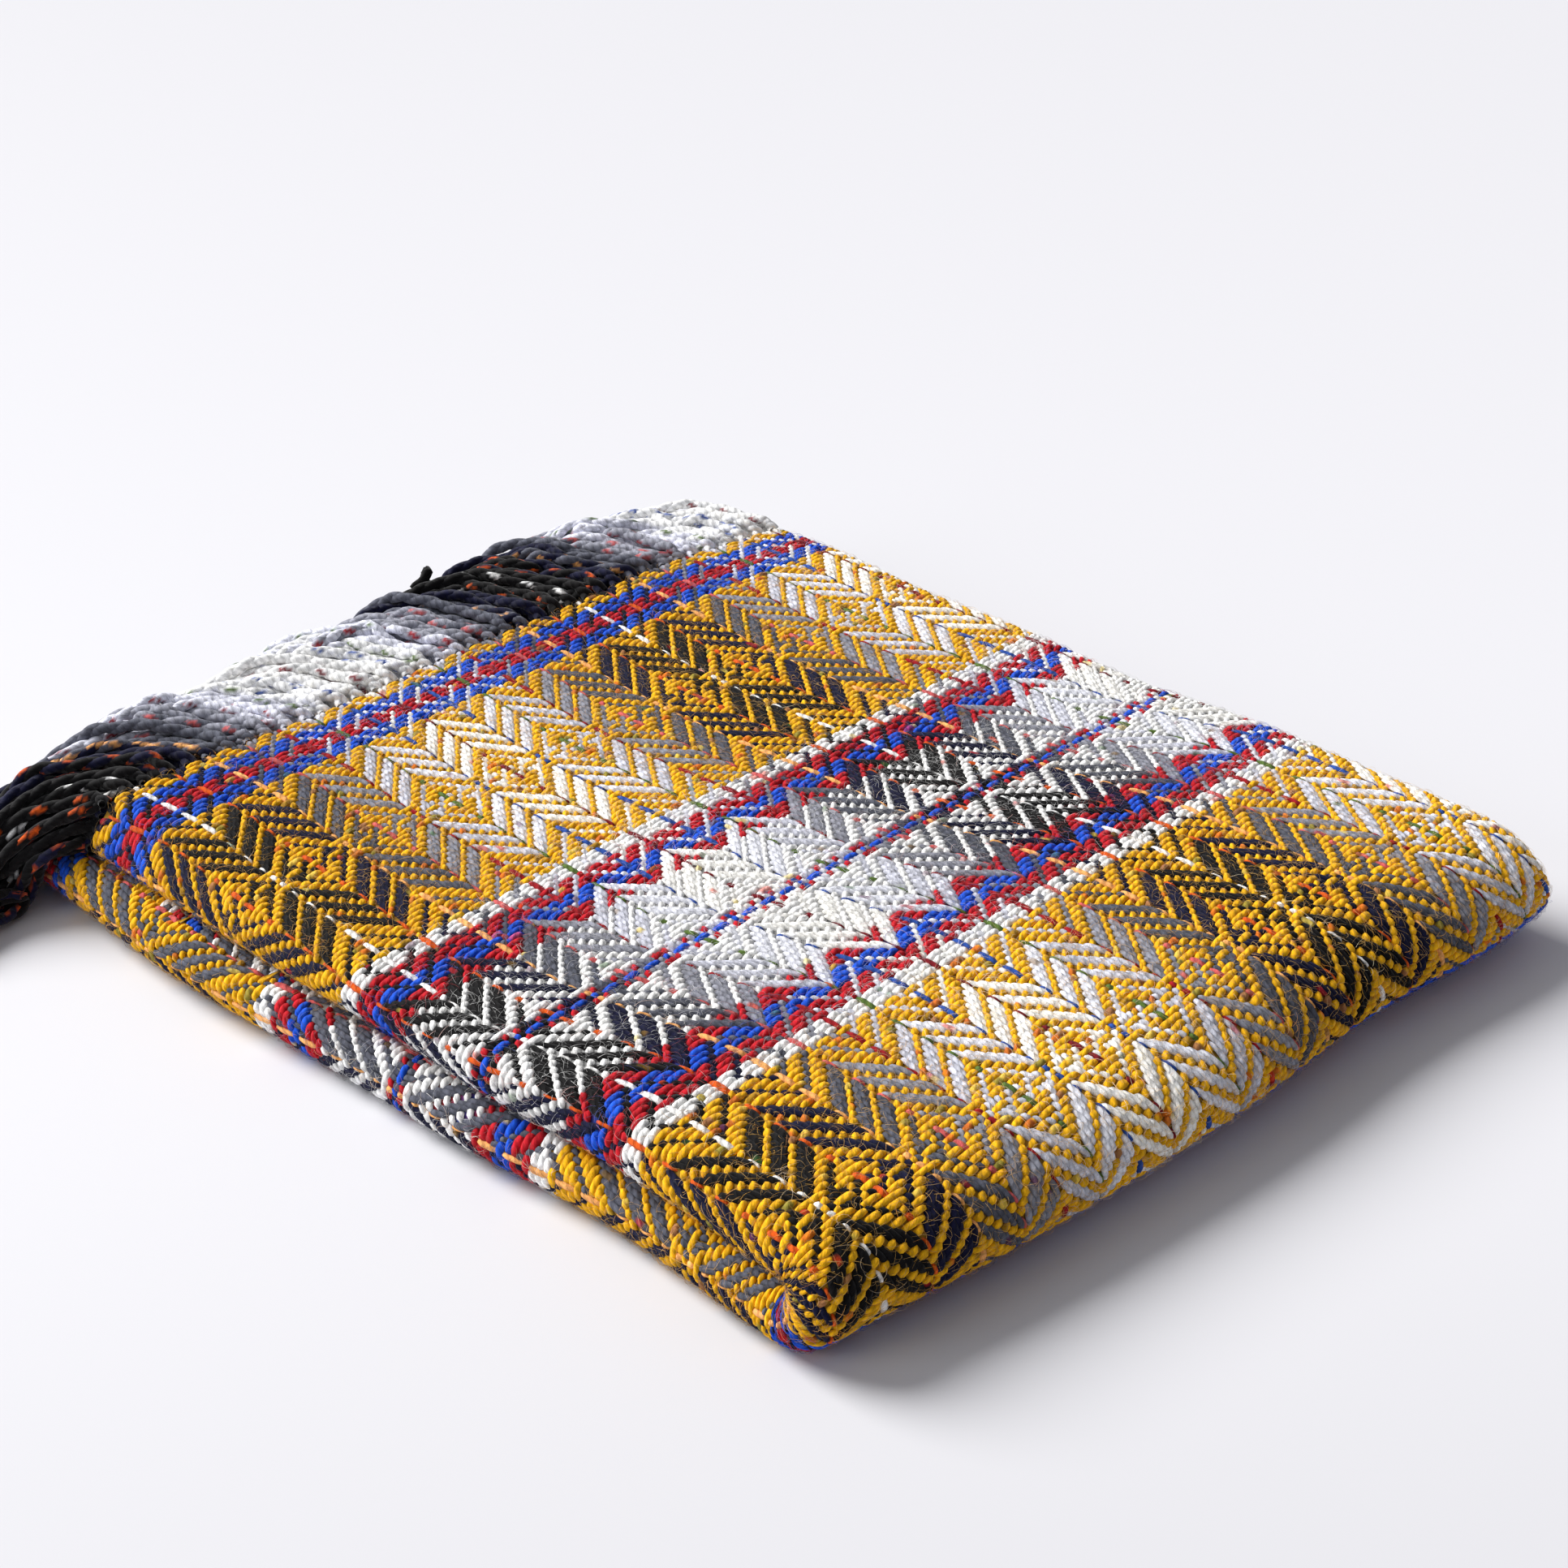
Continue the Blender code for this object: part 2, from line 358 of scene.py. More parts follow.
def yarn_colours(base, thread, along, mustard=None):
    """Colour along a yarn: thick and thin, marled, with neps of other colours."""
    cell = np.floor(along / (4.0 * MM))
    light = 0.90 + 0.20 * noise_by(thread, np.floor(along / (7 * MM)), 1) * np.ones_like(along)
    light = light * (0.93 + 0.14 * noise_by(thread, cell, 2))
    marl = noise_by(thread, np.floor(along / (1.3 * MM)), 11) - 0.5
    level = base.max(axis=-1)
    grey = (level > 0.06) & (level < 0.75) & (level - base.min(axis=-1) < 0.12)
    light = light * np.where(grey, 1 + 0.55 * marl, 1 + 0.16 * marl)
    out = base * light[..., None]
    pick = noise_by(thread, cell, 3)
    chance = 0.012 if mustard is None else np.where(mustard, 0.075, 0.014)
    which = (noise_by(thread, cell, 4) * len(FLECKS)).astype(int) % len(FLECKS)
    flecked = pick < chance
    out[flecked] = 0.3 * out[flecked] + 0.7 * np.array(FLECKS)[which[flecked]]
    return out


ROUND = 1.85                    # how far round the yarn each way the half tube goes, in radians


def lay_warp(thread, middle, along, half, t, n):
    """Stations, half width, sideways lean and sinking of warp floats that cross n picks.

    Between mustard floats an accent end is squeezed thin, and its neighbours close over it.
    """
    here = shaft(thread.astype(int))
    above = mirrored(middle, PICK_REPEAT) - here
    squeezed = (np.mod(thread, SECTION) == 0) & (above > 1) & (above < 12.5)
    half = half * np.where(squeezed, 0.60, 1.0)[:, None]
    shorter = middle[:, None] + 0.56 * float_reach(n, True) * t[None]
    along = np.where(squeezed[:, None], shorter, along)
    beside = np.where(np.mod(thread, SECTION) == 1, -0.13, 0.0)
    beside = np.where(np.mod(thread, SECTION) == SECTION - 1, 0.13, beside)
    rise = np.where(shaft(thread.astype(int) + 1) > here, 1.0, -1.0)
    rise = np.where((here == 0) | (here == SHAFT_REPEAT // 2), 0.0, rise)
    mirror = np.where(np.mod(middle, PICK_REPEAT) < PICK_REPEAT // 2, 1.0, -1.0)
    lean = 0.30 * rise * mirror + 0.05
    cross = lean[:, None] * END_PITCH * t[None] * min(n, 3) / 2 + beside[:, None] * END_PITCH
    return along, half, cross, np.where(squeezed, 0.34, 0.0) * MM


def float_reach(n, warp):
    """Half the length of a float over n threads, in threads; it dips under the ones beside them."""
    return n / 2 + ((0.34 if warp else 0.52) if n == 1 else 0.42)


def half_tubes(thread, middle, n, t, envelope, around, warp):
    """Shape of floats over n threads: stations along them, then sideways and outward offsets."""
    along = middle[:, None] + float_reach(n, warp) * t[None]
    fat = 1 + 0.26 * (noise_by(thread, middle, 5) - 0.5)
    width = 0.50 * END_PITCH if warp else 0.51 * PICK_PITCH
    half = width * fat[:, None] * (0.50 + 0.50 * envelope[None] ** 0.8)
    if warp:
        along, half, cross, drop = lay_warp(thread, middle, along, half, t, n)
    else:
        lean = 0.42 if n == 1 else 0.20
        cross = -lean * PICK_PITCH * t[None] * np.ones((len(thread), 1))
        drop = np.zeros(len(thread))
    cross = cross + 0.10 * MM * np.sin(along * 1.3 + thread[:, None] * 2.1)
    high = (0.84 if warp else 0.88) * MM * (0.55 + 0.45 * envelope[None])
    lift = (-0.90 + 1.00 * envelope[None]) * MM
    lift = lift + 0.16 * MM * (noise_by(thread, middle, 6)[:, None] - 0.5) - drop[:, None]
    side = cross[..., None] + half[..., None] * np.sin(around)[None, None]
    off = lift[..., None] + high[..., None] * np.cos(around)[None, None]
    spot = np.arange(side[0].size).reshape(side[0].shape)[None]
    own, centre = thread[:, None, None], middle[:, None, None]
    off = off + ROUGH * (noise_by(own * 3.1 + centre, spot, 12) - 0.5)
    side = side + ROUGH * (noise_by(own * 1.7 + centre, spot, 13) - 0.5)
    return along, side, off


def add_floats(batches, ends, picks, where, place, warp, detail, pick_s):
    """Every float of the warp, or of the weft, that shows on the face between these ends and picks.

    place(end, s, off) puts points in space; pick_s gives a pick's distance along the strip;
    where(end, pick) says which batch a float belongs to, or -1.
    """
    up = warp_up(ends, picks)
    row, start, length = runs(up if warp else ~up.T)
    threads, crossed = (ends, picks) if warp else (picks, ends)
    colour = warp_colour(ends) if warp else weft_colour(picks)
    middle_all = crossed[0] + start + (length - 1) / 2
    home = where(threads[row], middle_all) if warp else where(middle_all, threads[row])
    around = np.linspace(-ROUND, ROUND, 5 if detail > 1 else 4)
    # painted shade: each yarn's colour is lighter on its top and darker round its sides
    shade = 0.90 + 0.10 * np.cos(around * 0.85)
    for n in np.unique(length):
        stations = min(2 * n + 2 if detail > 1 else n + 3, 14)
        t = np.linspace(-1, 1, stations)
        grid = grid_faces(stations, len(around))
        envelope = 1 - np.abs(t) ** (2.0 + 0.55 * min(n, 4))
        for target in np.unique(home):
            chosen = (length == n) & (home == target)
            if target < 0 or not chosen.any():
                continue
            thread = threads[row[chosen]].astype(float)
            middle = middle_all[chosen]
            along, side, off = half_tubes(thread, middle, n, t, envelope, around, warp)
            if warp:
                s = pick_s(along)[..., None] * np.ones_like(side)
                end = thread[:, None, None] + side / END_PITCH
            else:
                s = pick_s(thread)[:, None, None] + side
                end = along[..., None] * np.ones_like(side)
            points = place(end, s, off)
            metres = along * (PICK_PITCH if warp else END_PITCH)
            base = np.repeat(colour[row[chosen]][:, None], stations, 1)
            kind = None if warp else np.repeat(is_mustard(thread.astype(int))[:, None], stations, 1)
            tint = yarn_colours(base, np.repeat(thread[:, None], stations, 1), metres, kind)
            # painted shade: the colour is darker towards a float's ends, where it dips under the crossing
            # threads
            tint = tint * (0.88 + 0.12 * envelope[None, :, None] ** 0.5)
            tint = tint[:, :, None] * shade[None, None, :, None]
            data = np.empty(points.shape)
            data[..., 0] = metres[..., None]
            data[..., 1] = (around / (2 * math.pi))[None, None]
            data[..., 2] = (noise_by(thread, thread * 0 + warp, 7) * 10)[:, None, None]
            count = stations * len(around)
            batches[target].add(points.reshape(-1, count, 3), grid, tint.reshape(-1, count, 3),
                                data.reshape(-1, count, 3))


# ---------------------------------------------------------------- materials
def node(tree, kind, **settings):
    """New shader node with these settings."""
    new = tree.nodes.new(kind)
    for key, value in settings.items():
        setattr(new, key, value)
    return new


def math_node(tree, operation, a, b=None):
    """Output of a sum over sockets or plain numbers."""
    new = node(tree, "ShaderNodeMath", operation=operation)
    for socket, value in zip(new.inputs, (a, b)):
        if value is None:
            continue
        if isinstance(value, (int, float)):
            socket.default_value = value
        else:
            tree.links.new(value, socket)
    return new.outputs[0]


def wool_material(name, ply_pitch=3.6 * MM, fibre=1.0, sheen=0.06, strength=0.85):
    """Wool yarn: colour from the mesh, fibres and plies wound round it from the yarn coordinates."""
    material = bpy.data.materials.new(name)
    material.use_nodes = True
    tree = material.node_tree
    shader = tree.nodes["Principled BSDF"]
    shader.inputs["Roughness"].default_value = 0.92
    shader.inputs["Sheen Weight"].default_value = sheen
    shader.inputs["Sheen Roughness"].default_value = 0.55
    shader.inputs["Specular IOR Level"].default_value = 0.15
    colour = node(tree, "ShaderNodeAttribute", attribute_name="Col")
    place = node(tree, "ShaderNodeAttribute", attribute_name="yarn")
    parts = tree.nodes.new("ShaderNodeSeparateXYZ")
    tree.links.new(place.outputs["Vector"], parts.inputs[0])
    along, around, own = parts.outputs[0], parts.outputs[1], parts.outputs[2]
    turns = math_node(tree, "DIVIDE", along, ply_pitch)
    twisted = math_node(tree, "ADD", turns, math_node(tree, "MULTIPLY", around, 1.9))
    wave = math_node(tree, "SINE", math_node(tree, "MULTIPLY", twisted, 2 * math.pi))
    raised = math_node(tree, "ADD", math_node(tree, "MULTIPLY", wave, 0.5), 0.5)
    plies = math_node(tree, "POWER", raised, 0.6)
    fibres = tree.nodes.new("ShaderNodeCombineXYZ")
    tree.links.new(math_node(tree, "MULTIPLY", twisted, 8.0), fibres.inputs[0])
    tree.links.new(math_node(tree, "SUBTRACT", math_node(tree, "MULTIPLY", turns, 2.2),
                             math_node(tree, "MULTIPLY", around, 3.0)), fibres.inputs[1])
    tree.links.new(math_node(tree, "MULTIPLY", own, 13.7), fibres.inputs[2])
    fine = tree.nodes.new("ShaderNodeTexNoise")
    fine.inputs["Scale"].default_value = 1.0
    fine.inputs["Detail"].default_value = 3.0
    fine.inputs["Roughness"].default_value = 0.65
    tree.links.new(fibres.outputs[0], fine.inputs["Vector"])
    tone = tree.nodes.new("ShaderNodeMapRange")
    tone.inputs["From Min"].default_value = 0.25
    tone.inputs["From Max"].default_value = 0.75
    tone.inputs["To Min"].default_value = 1 - 0.34 * fibre
    tone.inputs["To Max"].default_value = 1 + 0.38 * fibre
    tree.links.new(fine.outputs["Fac"], tone.inputs["Value"])
    # painted shade: the colour is darker in the grooves between the plies and a little lighter on their
    # crowns
    groove_shade = math_node(tree, "ADD", math_node(tree, "MULTIPLY", plies, 0.34), 0.80)
    tint = tree.nodes.new("ShaderNodeVectorMath")
    tint.operation = "SCALE"
    tree.links.new(colour.outputs["Color"], tint.inputs[0])
    tree.links.new(math_node(tree, "MULTIPLY", tone.outputs[0], groove_shade), tint.inputs["Scale"])
    tree.links.new(tint.outputs[0], shader.inputs["Base Color"])
    bump = tree.nodes.new("ShaderNodeBump")
    bump.inputs["Strength"].default_value = strength
    bump.inputs["Distance"].default_value = 0.35 * MM
    height = math_node(tree, "ADD", plies, math_node(tree, "MULTIPLY", fine.outputs["Fac"], 0.9))
    tree.links.new(height, bump.inputs["Height"])
    tree.links.new(bump.outputs[0], shader.inputs["Normal"])
    return material


# ---------------------------------------------------------------- the folded cloth under the yarns
SHEET_OFF = 1.05 * MM           # from the middle of a doubled layer to each of its two sheets


def doubled_section(off, step):
    """The doubled cloth across the strip, from selvedge to selvedge: arrays of x and h."""
    quarter = BUNDLE / 4
    level = [quarter * (i + 0.5) for i in range(4)]          # A2, B2, B1, A1 from the crease face
    left, right = SIDE_RADIUS, WIDTH - quarter
    flat = np.linspace(0, 1, max(3, int((right - left) / step)))
    arc = np.linspace(0, 1, 9)[1:-1] * math.pi
    big, tiny = level[3] - level[0], level[2] - level[1]
    xs, hs = [], []
    selvedge = WIDTH - 0.8 * MM
    xs.append(selvedge + (left - selvedge) * flat)
    hs.append(np.full_like(flat, level[0] - off))
    r = big / 2 + off
    xs.append(left - r * np.sin(arc))
    hs.append(SIDE_RADIUS - r * np.cos(arc))
    xs.append(left + (right - left) * flat)
    hs.append(np.full_like(flat, level[3] + off))
    r = quarter / 2 + off
    xs.append(right + r * np.sin(arc))
    hs.append((level[3] + level[2]) / 2 + r * np.cos(arc))
    xs.append(right + (left - right) * flat)
    hs.append(np.full_like(flat, level[2] - off))
    r = tiny / 2 - off
    xs.append(left - r * np.sin(arc))
    hs.append(SIDE_RADIUS + r * np.cos(arc))
    xs.append(left + (selvedge - left) * flat)
    hs.append(np.full_like(flat, level[1] + off))
    return np.concatenate(xs), np.concatenate(hs)


def build_cloth(material):
    """The whole cloth as one sheet, through all sixteen layers, its colour darkened to painted shade for the
    gaps between the yarns.
    """
    step = 6 * MM
    last = STRIP_LENGTH - 3 * MM
    fine = np.linspace(0, 1, 25)[1:-1] * TURN_LENGTH + UPPER_LENGTH
    over = np.linspace(0, UPPER_LENGTH, int(UPPER_LENGTH / step))
    back = np.linspace(UPPER_LENGTH + TURN_LENGTH, last, int(LOWER_LENGTH / step))
    path = np.concatenate([over, fine, back])
    rows = [(s, 1.0) for s in path]
    rows += [(last + 1.2 * MM * math.sin(a), math.cos(a)) for a in np.linspace(0, math.pi, 7)[1:-1]]
    rows += [(s, -1.0) for s in path[::-1]]
    points, tints = [], []
    for s, side in rows:
        x, h = doubled_section(SHEET_OFF * side, step)
        points.append(lay_strip(x, h, np.full_like(x, s)))
        pick = np.full(len(x), round(HEM_PICK + s / PICK_PITCH))
        weft = weft_colour(pick)
        warp = np.array(GROUND)[2]
        tints.append(0.75 * weft + 0.25 * warp)
    columns = len(points[0])
    # painted shade: the sheet's colour, a mix of the local weft and a grey warp, is halved to stand for the
    # shadow between the yarns
    return new_object("folded_cloth", np.concatenate(points), grid_faces(len(rows), columns), material,
                      np.concatenate(tints) * 0.5, np.zeros((len(rows) * columns, 3)))


# ---------------------------------------------------------------- the fringe
ROWS, PER_ROW = 8, 40
CORD_SPACING = WIDTH / PER_ROW
TWIST = 17.0                    # millimetres for one turn of a cord
CORD_NODES = 20
CORD_RADIUS = 2.45 * MM
LEDGE = LOWER_LENGTH - UPPER_LENGTH


def start_cords():
    """First guess at the 8 rows of 40 cords: combed to the left and drooping, before they settle."""
    draw = rng(1)
    rows, numbers = np.meshgrid(np.arange(ROWS), np.arange(PER_ROW), indexing="ij")
    rows, numbers = rows.ravel(), numbers.ravel()
    count = len(rows)
    x = (numbers + 0.5) * CORD_SPACING + draw.normal(0, 0.7, count) * MM
    z = CREASE_Z + HALF_GAP + (ROWS - 0.5 - rows) * LAYER
    length = (96 + np.clip(draw.normal(0, 8.0, count), -18, 12)) * MM
    step = length / (CORD_NODES - 1)
    bunch = np.sin(x / 0.0135 + rows * 1.9) + 0.8 * np.sin(x / 0.0071 + rows * 0.7 + 1)
    comb = np.clip(1.0 + 0.16 * bunch + draw.normal(0, 0.13, count), 0.6, 1.5)
    corner = np.exp(-np.clip(x - 0.004, 0, 1) / 0.045)
    wobble = draw.normal(0, 8, count)
    bends, phase = draw.uniform(0.6, 1.5, count), draw.uniform(0, 2 * math.pi, count)
    lifted = draw.normal(3, 9, count) + 6 * (rows == 0)
    here = np.stack([x, np.full(count, 0.4 * MM), z], axis=1)
    nodes = [here]
    for i in range(CORD_NODES - 1):
        s = (i + 0.5) / (CORD_NODES - 1)
        heading = np.interp(s, (0, 0.18, 0.45, 0.75, 1.0), (2, 12, 32, 56, 74)) * comb
        fallen = smooth(np.array(s), 0.02, 0.35)
        heading += corner * 48 * fallen + wobble * s
        heading += (2 + 8 * s) * np.sin(4.2 * s * bends + phase)
        top = 1 - rows / (ROWS - 1)
        climb = np.interp(s, (0, 0.15, 0.35, 0.6, 1.0), (26, 20, 2, -22, -56))
        climb = climb * (0.5 + 0.5 * top) - 4 * (1 - top)
        climb = climb * (1 - 0.85 * corner) - corner * 34 * fallen + lifted * math.sin(math.pi * s)
        a, b = np.radians(heading), np.radians(climb)
        way = np.stack([-np.sin(a) * np.cos(b), np.cos(a) * np.cos(b), np.sin(b)], axis=1)
        here = here + step[:, None] * way
        nodes.append(here)
    return np.stack(nodes, axis=1), step, rows, numbers


def keep_out(p):
    """Keeps cord centres off the floor, out of the lower half and behind the hems."""
    x, y, z = p[..., 0], p[..., 1], p[..., 2]
    ledge_top = CREASE_Z - HALF_GAP + CORD_RADIUS
    side = SLUMP - LOW_LEFT - CORD_RADIUS
    over = (x > side) & (y < LEDGE + CORD_RADIUS)
    z[:] = np.where(over & (z < ledge_top), np.minimum(ledge_top, z + 1.2 * MM), z)
    inside_left = (x > side) & (x < 0.010) & (z < ledge_top - 1 * MM)
    x[:] = np.where(inside_left & (y < LEDGE), x - 0.5 * MM, x)
    z[:] = np.clip(z, CORD_RADIUS + 1.3 * MM, 2 * CREASE_Z + 2.5 * MM)
    x[:] = np.maximum(x, -58 * MM)
    y[:] = np.minimum(y, 88 * MM - 14 * MM * smooth(x, 0.0, 0.20))
    y[:, 1:] = np.maximum(y[:, 1:], 1.5 * MM)


def settle_cords(nodes, step, rounds):
    """Lets the cords drop, keeps their length, and pushes them apart until they lie on each other."""
    roots = nodes[:, :2].copy()
    count = nodes.shape[0] * nodes.shape[1]
    owner = np.repeat(np.arange(nodes.shape[0]), nodes.shape[1])
    for turn in range(rounds):
        late = turn > rounds * 0.6
        nodes[:, 3:, 2] -= (0.09 if not late else 0.04) * MM
        middle = (nodes[:, :-2] + nodes[:, 2:]) / 2
        nodes[:, 1:-1] += 0.12 * (middle - nodes[:, 1:-1])
        flat = nodes.reshape(-1, 3)
        tree = kdtree.KDTree(count)
        for i, point in enumerate(flat.tolist()):
            tree.insert(point, i)
        tree.balance()
        push = np.zeros_like(flat)
        first, second = [], []
        for i, point in enumerate(flat.tolist()):
            for _, j, _ in tree.find_range(point, 2 * CORD_RADIUS):
                if j > i and owner[j] != owner[i]:
                    first.append(i)
                    second.append(j)
        if first:
            first, second = np.array(first), np.array(second)
            gap = flat[second] - flat[first]
            far = np.linalg.norm(gap, axis=1)
            move = gap / np.maximum(far, 1e-6)[:, None] * (2 * CORD_RADIUS - far)[:, None] * 0.32
            np.add.at(push, second, move)
            np.add.at(push, first, -move)
            size = np.linalg.norm(push, axis=1)
            push *= np.minimum(1, 1.2 * MM / np.maximum(size, 1e-9))[:, None]
            flat += push
        keep_out(nodes)
        nodes[:, :2] = roots
        for i in range(1, CORD_NODES - 1):
            way = nodes[:, i + 1] - nodes[:, i]
            way /= np.maximum(np.linalg.norm(way, axis=1), 1e-9)[:, None]
            nodes[:, i + 1] = nodes[:, i] + way * step[:, None]
    keep_out(nodes)
    return nodes


def resample(nodes, stations):
    """Smooth curve (Catmull-Rom) through each row of nodes."""
    count = nodes.shape[1]
    at = np.linspace(0, count - 1, stations)
    i = np.minimum(at.astype(int), count - 2)
    f = (at - i)[None, :, None]
    before, after = 2 * nodes[:, :1] - nodes[:, 1:2], 2 * nodes[:, -1:] - nodes[:, -2:-1]
    ends = np.concatenate([before, nodes, after], axis=1)
    a, b, c, d = (ends[:, i + k] for k in range(4))
    square, cube = (2 * a - 5 * b + 4 * c - d) * f ** 2, (3 * b - a - 3 * c + d) * f ** 3
    return 0.5 * (2 * b + (c - a) * f + square + cube)


def frames(path):
    """Two directions square to each path, for (paths, stations, 3) points."""
    way = np.gradient(path, axis=1)
    way /= np.maximum(np.linalg.norm(way, axis=2), 1e-9)[..., None]
    side = np.cross(way, np.array([0.0, 0.0, 1.0]))
    side /= np.maximum(np.linalg.norm(side, axis=2), 1e-9)[..., None]
    return side, np.cross(side, way)


def tubes(batch, path, radius, sides, tint, metres, own):
    """Tubes along paths, with a radius for each station and a colour for each point."""
    side, up = frames(path)
    angle = np.arange(sides) / sides * 2 * math.pi
    ring = side[:, :, None] * np.cos(angle)[:, None] + up[:, :, None] * np.sin(angle)[:, None]
    points = path[:, :, None] + ring * radius[..., None, None]
    count, stations = path.shape[:2]
    faces = grid_faces(stations, sides, wrap=True)
    data = np.empty(points.shape)
    data[..., 0] = metres[..., None]
    data[..., 1] = (angle / (2 * math.pi))[None, None]
    data[..., 2] = own[:, None, None]
    batch.add(points.reshape(count, -1, 3), faces, tint.reshape(count, -1, 3), data.reshape(count, -1, 3))


def row_end(row, x):
    """Warp end that lies at x in a hem row; each pair of rows is one width of the folded cloth."""
    width = row // 2
    end = (x - CENTRE_END_X) / END_PITCH
    if width == 1:
        end = 294 - end
    elif width == 2:
        end = 296 + end
    elif width == 3:
        end = -end
    return end


def build_fringe(material):
    """The fringe in three pieces, each cord of two strands in the colours of the ends at its root."""
    nodes, step, rows, numbers = start_cords()
    nodes = settle_cords(nodes, step, 70)
    draw = rng(2)
    spins = draw.uniform(0, 2 * math.pi, len(rows))
    made = []
    for name, wanted, stations, sides in (("fringe_top_row", (0,), 62, 8),
                                          ("fringe_second_rows", (1, 2), 51, 7),
                                          ("fringe_under_rows", (3, 4, 5, 6, 7), 39, 5)):
        chosen = np.isin(rows, wanted)
        spin = spins[chosen][:, None]
        path = resample(nodes[chosen], stations)
        placed = settle(path[..., 0], path[..., 1], path[..., 2], cord=True)
        length = step[chosen] * (CORD_NODES - 1)
        metres = np.linspace(0, 1, stations)[None] * length[:, None]
        side, up = frames(placed)
        batch = Batch()
        u = np.linspace(0, 1, stations)[None]
        loosen = smooth(u, 0.90, 1.0)
        gather = smooth(u, 0.0, 0.07)
        which = np.nonzero(chosen)[0]
        mid_x = (numbers[which] + 0.5) * CORD_SPACING
        for strand in range(2):
            turn = 2 * math.pi * metres / (TWIST * MM) * (1 - 0.12 * loosen) + spin + strand * math.pi
            turn = turn * gather + (strand * math.pi) * (1 - gather)
            offset = (0.58 + 0.85 * loosen + 0.9 * (1 - gather)) * MM
            across = side * (offset * np.cos(turn))[..., None]
            above = up * (offset * np.sin(turn))[..., None] * (0.5 + 0.5 * gather)[..., None]
            centre = placed + across + above
            thick = 1.95 + 0.10 * np.sin(metres / 0.004 + spin)
            thick = thick * (1 - 0.45 * loosen) * (0.75 + 0.25 * gather) * MM
            ground, accent = [], []
            for index, x in zip(which, mid_x):
                root = x - CORD_SPACING / 2 + strand * CORD_SPACING / 2
                first = math.floor(row_end(rows[index], root) + 0.5)
                pair = np.array([first, first + 1])
                colours = warp_colour(pair)
                own = np.mod(pair, SECTION) == 0
                ground.append(colours[1] if own[0] else colours[0])
                accent.append(colours[own][0] if own.any() else colours[1])
            ground, accent = np.array(ground), np.array(accent)
            bright = ground.mean(axis=1, keepdims=True) > 0.07
            ground = np.where(bright, np.minimum(ground * 1.25, 0.88), ground)
            spiral = np.arange(sides)[None, None] / sides + metres[..., None] / (TWIST * MM) + strand * 0.3
            second = (np.mod(spiral, 1) < 0.17)[..., None]
            tint = np.where(second, accent[:, None, None], ground[:, None, None])
            light = 0.88 + 0.24 * noise_by(which[:, None] * 2.0 + strand, np.floor(metres / (6 * MM)), 8)
            tint = tint * light[..., None, None]
            tubes(batch, centre, thick, sides, tint, metres, which + strand * 0.5)
        made.append(batch.build(name, material))
    return made


# ---------------------------------------------------------------- edges of the cloth
def build_selvedges(material):
    """Where the weft turns back at the open edges, on the right."""
    made = []
    quarter = BUNDLE / 4
    for name, first, last in (("selvedges_upper", 0.0, UPPER_LENGTH),
                              ("selvedges_lower", UPPER_LENGTH + TURN_LENGTH, STRIP_LENGTH - 2 * MM)):
        batch = Batch()
        pairs = np.arange(int(first / PICK_PITCH) // 2 * 2, int(last / PICK_PITCH) - 1, 2)
        t = np.linspace(-1, 1, 7)
        envelope = 1 - np.abs(t) ** 3
        angle = np.arange(6) / 6 * 2 * math.pi
        for level in (0, 1):
            for side in (-1, 1):
                h = quarter * (level + 0.5) + side * SHEET_OFF
                s = ((pairs + 1)[:, None] + 1.0 * t[None]) * PICK_PITCH
                jitter = (noise_by(pairs, pairs * 0 + level * 2 + side, 9) - 0.5)[:, None] * 1.4 * MM
                x = WIDTH - 2.0 * MM + (1.5 * envelope[None] - 0.3) * MM + jitter
                r = (0.75 + 0.30 * envelope) * MM
                xs = x[..., None] + r[None, :, None] * np.cos(angle)
                hs = h + r[None, :, None] * np.sin(angle) * np.ones_like(xs)
                ss = np.repeat(s[..., None], 6, axis=2)
                points = lay_strip(xs, np.clip(hs, 0.1 * MM, 1), ss)
                colour = weft_colour(pairs + HEM_PICK)[:, None, None] * np.ones(xs.shape + (1,))
                colour = colour * (0.8 + 0.3 * noise_by(pairs, pairs * 0 + side, 10))[:, None, None, None]
                data = np.zeros(points.shape)
                data[..., 0] = ss
                data[..., 1] = angle / (2 * math.pi)
                data[..., 2] = (pairs % 10)[:, None, None]
                batch.add(points.reshape(len(pairs), -1, 3), grid_faces(7, 6, wrap=True),
                          colour.reshape(len(pairs), -1, 3), data.reshape(len(pairs), -1, 3))
        made.append(batch.build(name, material))
    return made


FOLD_PICK = 272                 # the pick at the closed folds


def build_closed_folds(material):
    """The four folds at the back of the lower half, where the doubled cloth turns back."""
    batch = Batch()
    quarter = BUNDLE / 4
    nose = quarter / 2 - 0.55 * MM

    def everywhere(end, pick):
        return np.zeros(np.broadcast(end, pick).shape, int)

    def pick_s(pick):
        return (pick - FOLD_PICK) * 1.9 * MM

    for level in range(4):
        def place(end, s, off, level=level):
            x = CENTRE_END_X + end * END_PITCH
            angle = np.clip(s / (quarter / 2), -1.75, 1.75)
            y = LEDGE - quarter / 2 + (nose + off) * np.cos(angle) + 0.6 * MM
            z = CREASE_Z - HALF_GAP - quarter * (level + 0.5) + (nose + off) * np.sin(angle)
            return settle(x, y, np.maximum(z, 0.2 * MM))
        ends = np.arange(-5, 150)
        picks = np.arange(FOLD_PICK - 2, FOLD_PICK + 3)
        for warp in (True, False):
            add_floats([batch], ends, picks, everywhere, place, warp, 2, pick_s)
    return batch.build("closed_folds", material)


# ---------------------------------------------------------------- the yarns over the cloth
OUTER = (("yarns_top_back", "upper"), ("yarns_top_middle", "upper"), ("yarns_top_front", "upper"),
         ("yarns_upper_side", "upper"), ("yarns_front_fold", "fold"), ("yarns_lower_side", "lower"),
         ("yarns_underside", "lower"))


